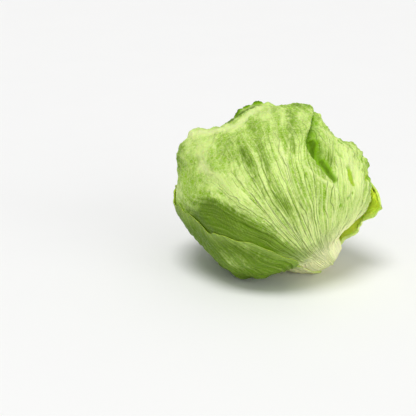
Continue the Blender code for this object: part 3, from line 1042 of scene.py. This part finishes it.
def leaf_finish(name, colours, green, pale, deep, glow):
    """A crisp leaf: mottled green blade, pale ribs and fine veins, cream heel and satin wax.

    Where the tint is low the blade is deep and its ribs are faint, and where it is high the
    blade takes the ribs' colour. Thin dark grooves and thin bright lines run up from the foot;
    the grooves' dark colour is partly painted shade. Folds get painted shade in the fold colour
    and, where deepest, the deep colour. The inner side's colour is partly painted light.
    """
    nodes = Nodes(name)
    rib, heel, fold_shade = (nodes.attribute(word) for word in ("rib", "heel", "fold_shade"))
    valley, tint, vein = (nodes.attribute(word) for word in ("valley", "tint", "vein"))
    broad = nodes.noise(nodes.objects(), 34, 3, 0.6)
    streak = nodes.noise(nodes.sheet(13, 1.8), 1.0, 4, 0.62)
    mottle = nodes.noise(nodes.objects(), 210, 4, 0.65)
    fine = nodes.noise(nodes.objects(), 700, 2, 0.6)
    thread = nodes.noise(nodes.sheet(70, 4.5), 1.0, 2, 0.5)
    net = nodes.network(150, 0.10)
    near_foot = nodes.times(nodes.between(nodes.attribute("fromfoot"), 1.6, 0.8),
                            nodes.between(tint, 1.2, 0.2, 0.22, 1.0))
    groove = nodes.math("MAXIMUM", nodes.lines(1, 0.36, 0.7), nodes.lines(2.2, 0.26, 0.5))
    groove = nodes.times(groove, near_foot)
    broken = nodes.plus(nodes.plus(tint, mottle, 1.2), streak, 2.6)
    shade = nodes.between(broken, 1.55, 0.35)
    light = nodes.plus(1.0, shade, -0.45)

    patch = nodes.plus(nodes.times(broad, 0.6), streak, 1.5)
    patch = nodes.plus(nodes.plus(patch, mottle, 0.6), tint, 0.20)
    blade = nodes.mix(nodes.between(patch, 1.18, 1.54), green, pale)
    blade = nodes.mix(nodes.between(fine, 0.46, 0.72, 0, 0.55), blade, colours.rib)
    blade = nodes.mix(nodes.times(net, 0.22), blade, colours.rib)
    blade = nodes.mix(nodes.times(vein, 0.35), blade, pale)
    blade = nodes.mix(nodes.times(shade, 0.9), blade, deep)
    blade = nodes.mix(nodes.times(valley, 0.25), blade, green)
    blade = nodes.mix(nodes.between(tint, 0.5, 1.7, 0, 0.8), blade, colours.rib)
    blade = nodes.mix(nodes.between(heel, 0.05, 0.85, 0, 0.9), blade, colours.butt)

    line = nodes.mix(nodes.times(shade, 0.8), colours.rib, colours.faint)
    crest = nodes.mix(nodes.between(heel, 0.2, 0.9), line, colours.butt)
    ribbed = nodes.times(nodes.times(rib, light), nodes.between(thread, 0.25, 0.6, 0.4, 1.0))
    blade = nodes.mix(nodes.times(ribbed, 0.8), blade, crest)
    bright = nodes.times(nodes.times(nodes.lines(3.1, 0.24, 0.55), near_foot), light)
    blade = nodes.mix(nodes.times(bright, 0.6), blade, line)
    # painted shade, in part: the grooves between the ribs darken towards the deep colour
    dark = nodes.mix(nodes.between(heel, 0.2, 0.9, 0, 0.75), deep, green)
    grooved = nodes.times(groove, nodes.between(heel, 0.3, 1.0, 0.6, 0.3))
    blade = nodes.mix(grooved, blade, dark)
    # painted shade in folds and pockets: the fold colour, then the deep colour where deepest
    blade = nodes.mix(nodes.between(fold_shade, 0.0, 0.6, 0, 0.85), blade, colours.fold)
    blade = nodes.mix(nodes.between(fold_shade, 0.5, 1.0, 0, 0.8), blade, deep)
    # the inner side's colour, brightened as painted light
    blade = nodes.mix(nodes.times(nodes.attribute("inside"), 0.85), blade, colours.within)
    margin = nodes.times(nodes.attribute("rim"), nodes.between(fold_shade, 0.1, 0.6, 0.75, 0))
    blade = nodes.mix(margin, blade, pale)
    nodes.feed(nodes.shader.inputs["Base Color"], blade)

    wax = nodes.noise(nodes.objects(), 60, 3)
    nodes.feed(nodes.shader.inputs["Roughness"], nodes.between(wax, 0.3, 0.7, 0.36, 0.52))
    height = nodes.plus(nodes.times(fine, 0.35), mottle, 0.7)
    height = nodes.plus(nodes.plus(height, thread, 0.4), net, 0.4)
    height = nodes.plus(height, groove, -0.9)
    nodes.feed(nodes.shader.inputs["Normal"], nodes.bump(height, 0.0006, 0.8))
    nodes.shader.inputs["Specular IOR Level"].default_value = 0.08
    nodes.glow(glow, (0.5, 1.0, 0.12), 0.0007)
    return nodes.material


def stem_finish(name, colours):
    """Moist cream stem, browner on its cut face and paler at its core, with a fine grain."""
    nodes = Nodes(name)
    grain = nodes.noise(nodes.objects(), 420, 4, 0.6)
    cloud = nodes.noise(nodes.objects(), 90, 3)
    flesh = nodes.mix(nodes.between(cloud, 0.3, 0.7), colours.butt, colours.rib)
    flesh = nodes.mix(nodes.times(nodes.attribute("face"), 0.35), flesh, colours.cut)
    flesh = nodes.mix(nodes.times(nodes.attribute("core"), 0.6), flesh, colours.core)
    flesh = nodes.mix(nodes.between(grain, 0.5, 0.8, 0, 0.3), flesh, colours.grain)
    nodes.feed(nodes.shader.inputs["Base Color"], flesh)
    nodes.feed(nodes.shader.inputs["Roughness"], nodes.between(grain, 0.2, 0.8, 0.30, 0.5))
    nodes.feed(nodes.shader.inputs["Normal"], nodes.bump(grain, 0.0004, 0.7))
    nodes.glow(0.25, (1.0, 0.9, 0.4), 0.003)
    return nodes.material


# Sizes and colours that a user would change


def length(name, description, default):
    return FloatProperty(
        name=name, description=description, default=default, precision=5, unit="LENGTH")


def colour(name, description, default):
    return FloatVectorProperty(
        name=name, description=description, default=default, subtype="COLOR", min=0, max=1)


class LettuceSizes(bpy.types.PropertyGroup):
    swell: length("Swell", "Height of the soft waves of every leaf", 1.6 * MM)
    ruffle: length("Ruffle", "Height of the ruffles at the rim of a leaf", 2.4 * MM)
    crumple: length("Crumple", "Height of the sharp ridges where a leaf is crumpled", 0.9 * MM)
    rib_height: length("Rib height", "How far the ribs stand out", 1.3 * MM)
    rib_width: length("Rib width", "Half the width of a rib", 1.35 * MM)
    blister: length("Blisters", "Height of the puckers between veins", 0.8 * MM)
    blade: length("Blade", "Thickness of a leaf's blade", 0.8 * MM)
    camera_distance: length("Camera distance", "From the camera to the head", 0.9776)


class LettuceColours(bpy.types.PropertyGroup):
    green: colour("Leaf green", "Middle green of the outer leaves", (0.24, 0.44, 0.015))
    pale: colour("Pale green", "Pale spots and crests of the outer leaves", (0.58, 0.76, 0.21))
    # Deep green: also laid on as painted shade in grooves, in the depths of folds and over the lower
    # left
    deep: colour("Deep green", "Grooves and thin places of the outer leaves", (0.072, 0.150, 0.001))
    rib: colour("Rib", "Pale ribs and veins", (0.75, 0.84, 0.36))
    faint: colour("Faint rib", "Ribs where a leaf is deep green", (0.29, 0.45, 0.03))
    # Fold: painted shade laid into folds and pockets
    fold: colour("Fold", "Depth of folds and pockets", (0.20, 0.42, 0.002))
    # Inner side: also brightened as painted light where the inner side shows in shade, under the back
    # leaf's rim and in the slots
    within: colour("Inner side", "Yellow green of a leaf's inner side", (0.70, 0.88, 0.02))
    butt: colour("Butt", "Cream flesh of the butt and the stem", (0.99, 0.98, 0.60))
    cut: colour("Cut face", "Browner skin of the stem's cut face", (0.62, 0.50, 0.22))
    core: colour("Core", "Paler middle of the stem", (0.80, 0.78, 0.50))
    grain: colour("Grain", "Darker grain of the stem", (0.55, 0.48, 0.22))
    head_green: colour("Head green", "Middle green of the inner leaves", (0.52, 0.66, 0.16))
    heart: colour("Heart", "Yellow green of the heart leaves", (0.78, 0.78, 0.22))
    floor: colour("Floor", "The pale floor", (0.88, 0.88, 0.875))


def sizes():
    return bpy.context.scene.lettuce_sizes


def colours():
    return bpy.context.scene.lettuce_colours


def stand_for(piece, node):
    """Sets a piece in its CAD node's place."""
    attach(piece, "root")
    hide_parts(node)


def plant(leaf, material):
    """Builds one leaf and sets it in its CAD node's place."""
    outer, inner, patterns, sheet = leaf_surface(leaf, sizes())
    name = leaf.node + "_blade"
    if leaf in WRAPPERS:
        name = leaf.node.replace("wrapper_leaf", "wrapper_leaf_blade")
    stand_for(closed_sheet(name, outer, inner, patterns, sheet, material), leaf.node)


def head_leaf(kind, number, place):
    """A leaf of the head or the heart: as HEAD_LEAF, smaller by a step for each place inwards."""
    return HEAD_LEAF._replace(
        node=f"{kind}_{number + 1:02d}", share=HEAD_LEAF.share - HEAD_STEP * place,
        around=WRAPPERS[-1].around + GOLDEN_TURN * (place + 1), seed=HEAD_LEAF.seed + place,
        columns=HEAD_LEAF.columns - 2 * place, rows=HEAD_LEAF.rows - 2 * place)


class LETTUCE_OT_wrappers(bpy.types.Operator):
    """The six outermost leaves, cupped one over another"""

    bl_idname = "lettuce.wrappers"
    bl_label = "Wrapper leaves"

    def execute(self, context):
        look = colours()
        finish = leaf_finish("outer_leaf_skin", look, look.green, look.pale, look.deep, 0.20)
        for leaf in WRAPPERS:
            plant(leaf, finish)
        return {"FINISHED"}


class LETTUCE_OT_head_leaves(bpy.types.Operator):
    """The leaves of the head, folded one inside another round the heart"""

    bl_idname = "lettuce.head_leaves"
    bl_label = "Head leaves"

    def execute(self, context):
        look = colours()
        finish = leaf_finish("head_leaf_skin", look, look.head_green, look.pale, look.green, 0.25)
        for number in range(HEAD_LEAVES):
            plant(head_leaf("head_leaf", number, number), finish)
        return {"FINISHED"}


class LETTUCE_OT_heart(bpy.types.Operator):
    """The small yellow leaves of the heart and the bud that they hold"""

    bl_idname = "lettuce.heart"
    bl_label = "Heart"

    def execute(self, context):
        look = colours()
        finish = leaf_finish("heart_leaf_skin", look, look.heart, look.rib, look.head_green, 0.3)
        for number in range(HEART_LEAVES):
            plant(head_leaf("heart_leaf", number, HEAD_LEAVES + number), finish)
        stand_for(make_bud(finish), "heart_bud")
        return {"FINISHED"}


def on_axis(points, below_middle):
    """Points of a shape that stands on its own +Z, set on the head's axis."""
    return MIDDLE - BASIS[:, 2] * below_middle + points @ BASIS.T


def round_angles(columns):
    """Angles an equal way apart, once round."""
    return np.linspace(0, 2 * math.pi, columns, endpoint=False)


def turned_piece(name, radius, height, patterns, material, below_middle):
    """A closed surface round the head's axis, from a grid of radii and heights.

    Each row is a ring at one height: radius times the cosine and sine of the angle. The first
    and the last row are one point each, and triangles join them to their neighbours.
    """
    rows, columns = radius.shape
    angle = round_angles(columns)
    ring = np.stack([radius * np.cos(angle), radius * np.sin(angle), height], axis=-1)
    points = on_axis(ring[1:-1].reshape(-1, 3), below_middle)
    ends = on_axis(np.array([[0, 0, height[0, 0]], [0, 0, height[-1, 0]]]), below_middle)
    first = np.arange(rows - 3)[:, None] * columns
    column = np.arange(columns)
    onward = (column + 1) % columns
    faces = [first + column, first + onward, first + columns + onward, first + columns + column]
    faces = np.stack(faces, axis=-1).reshape(-1, 4)
    count, top = len(points), (rows - 3) * columns
    low = np.stack([onward, column, np.full(columns, count)], axis=1)
    high = np.stack([top + column, top + onward, np.full(columns, count + 1)], axis=1)
    values = {
        key: np.concatenate([grid[1:-1].ravel(), [grid[0, 0], grid[-1, 0]]])
        for key, grid in patterns.items()
    }
    return new_piece(name, np.concatenate([points, ends]), [faces, low, high], values, material)


def make_bud(material):
    """Folded ball: a ball whose radius waves with the angle, turned a little at each height."""
    polar = np.linspace(0, math.pi, 34)[:, None]
    angle = round_angles(60)
    fold = 1 + 0.05 * np.cos(5 * angle + 3 * np.cos(polar)) + 0.03 * np.cos(9 * angle - 2 * polar)
    radius = BUD_RADIUS * np.sin(polar) * fold
    height = -BUD_HALF_LENGTH * np.cos(polar) * np.ones_like(angle)
    blank = np.zeros_like(fold)
    patterns = dict.fromkeys(("heel", "vein", "rim", "fold_shade", "valley", "tint", "inside"), blank)
    patterns["rib"] = np.clip((fold - 1) * 10 + 0.4, 0, 1)
    patterns["spacing"] = blank + 3
    patterns["fromfoot"] = blank + 1
    return turned_piece("heart_bud_folds", radius, height, patterns, material, BUD_BELOW_MIDDLE)


def make_stem(material):
    """The stem: a flat cut face with a rounded rim, and a side that is a quarter of an ellipse.

    Its radius waves a little with the angle, and the cut face is a little uneven.
    """
    corner = np.linspace(0, math.pi / 2, 9)[1:]
    face_radius = np.linspace(0, STEM_RADIUS - STEM_ROUNDING, 12)
    rim_radius = STEM_RADIUS - STEM_ROUNDING * (1 - np.sin(corner))
    rim_height = STEM_ROUNDING * (1 - np.cos(corner))
    side_height = np.linspace(rim_height[-1], STEM_LENGTH, 30)[1:]
    radius = np.concatenate([face_radius, rim_radius, stem_radius(side_height)])
    radius[-1] = 0
    level = np.concatenate([np.zeros_like(face_radius), rim_height, side_height])[:, None]
    angle = round_angles(72)
    radius = radius[:, None] * (1 + 0.012 * np.sin(7 * angle + 1) + 0.008 * np.sin(13 * angle))
    height = level + 0.25 * MM * np.sin(3 * angle + radius / MM) * (level < 1e-9)
    height[0] = height[0].mean()
    patterns = {"face": height < 1.0 * MM, "core": bell(radius, 6 * MM)}
    return turned_piece("stem_flesh", radius, height, patterns, material, STEM_FACE)


class LETTUCE_OT_stem(bpy.types.Operator):
    """The short stem, turned about the head's axis, with its cut face at the butt"""

    bl_idname = "lettuce.stem"
    bl_label = "Stem"

    def execute(self, context):
        stand_for(make_stem(stem_finish("stem_flesh", colours())), "stem")
        return {"FINISHED"}


class LETTUCE_OT_stage(bpy.types.Operator):
    """Pale floor, two soft lights and the camera"""

    bl_idname = "lettuce.stage"
    bl_label = "Stage"

    def execute(self, context):
        scene = context.scene
        scene.view_settings.view_transform = "Standard"
        half = HALF_FLOOR
        mesh = bpy.data.meshes.new("floor")
        mesh.from_pydata([(-half, -half, 0), (half, -half, 0), (half, half, 0), (-half, half, 0)],
                         [], [(0, 1, 2, 3)])
        nodes = Nodes("floor_paper")
        grain = nodes.noise(nodes.objects(), 9, 2)
        shade = tuple(0.985 * channel for channel in colours().floor)
        nodes.feed(nodes.shader.inputs["Base Color"], nodes.mix(grain, colours().floor, shade))
        nodes.shader.inputs["Roughness"].default_value = 0.6
        nodes.shader.inputs["Specular IOR Level"].default_value = 0.2
        mesh.materials.append(nodes.material)
        floor = bpy.data.objects.new("floor", mesh)
        scene.collection.objects.link(floor)

        world = bpy.data.worlds.new("studio")
        world.use_nodes = True
        world.node_tree.nodes["Background"].inputs["Color"].default_value = (1, 1, 1, 1)
        world.node_tree.nodes["Background"].inputs["Strength"].default_value = SURROUNDING_LIGHT
        scene.world = world
        for name, energy, angle, towards in LIGHTS:
            sun = bpy.data.lights.new(name, "SUN")
            sun.energy, sun.angle = energy, angle
            window = bpy.data.objects.new(name, sun)
            window.rotation_euler = Vector(towards).to_track_quat("Z", "Y").to_euler()
            scene.collection.objects.link(window)

        camera = bpy.data.cameras.new("camera")
        camera.lens, camera.sensor_width = LENS, SENSOR
        view = bpy.data.objects.new("camera", camera)
        lean, rise = math.cos(FRONT_ELEVATION), math.sin(FRONT_ELEVATION)
        ahead, right, up = Vector((0, lean, -rise)), Vector((1, 0, 0)), Vector((0, rise, lean))
        distance = sizes().camera_distance
        pixel = distance / (PHOTO_WIDTH * LENS / SENSOR)
        aside = right * PHOTO_RIGHT + up * PHOTO_UP
        view.location = Vector(AIM) - ahead * distance - aside * pixel
        view.rotation_euler = (math.pi / 2 - FRONT_ELEVATION, 0, 0)
        scene.collection.objects.link(view)
        scene.camera = view
        return {"FINISHED"}


class LETTUCE_PT_panel(bpy.types.Panel):
    bl_label = "Crisp lettuce head"
    bl_idname = "LETTUCE_PT_panel"
    bl_space_type = "VIEW_3D"
    bl_region_type = "UI"
    bl_category = "Lettuce"

    def draw(self, context):
        for group in (context.scene.lettuce_sizes, context.scene.lettuce_colours):
            for key in group.bl_rna.properties.keys():
                if key not in {"rna_type", "name"}:
                    self.layout.prop(group, key)
        for step in STEPS:
            self.layout.operator(step.bl_idname)


STEPS = (
    LETTUCE_OT_stage,
    LETTUCE_OT_stem,
    LETTUCE_OT_wrappers,
    LETTUCE_OT_head_leaves,
    LETTUCE_OT_heart,
)
CLASSES = (LettuceSizes, LettuceColours, *STEPS, LETTUCE_PT_panel)


def register():
    for each in CLASSES:
        bpy.utils.register_class(each)
    bpy.types.Scene.lettuce_sizes = PointerProperty(type=LettuceSizes)
    bpy.types.Scene.lettuce_colours = PointerProperty(type=LettuceColours)


def unregister():
    del bpy.types.Scene.lettuce_colours
    del bpy.types.Scene.lettuce_sizes
    for each in reversed(CLASSES):
        bpy.utils.unregister_class(each)


def main():
    register()
    bpy.ops.lettuce.stage()
    bpy.ops.lettuce.stem()
    bpy.ops.lettuce.wrappers()
    bpy.ops.lettuce.head_leaves()
    bpy.ops.lettuce.heart()


if __name__ == "__main__":
    main()
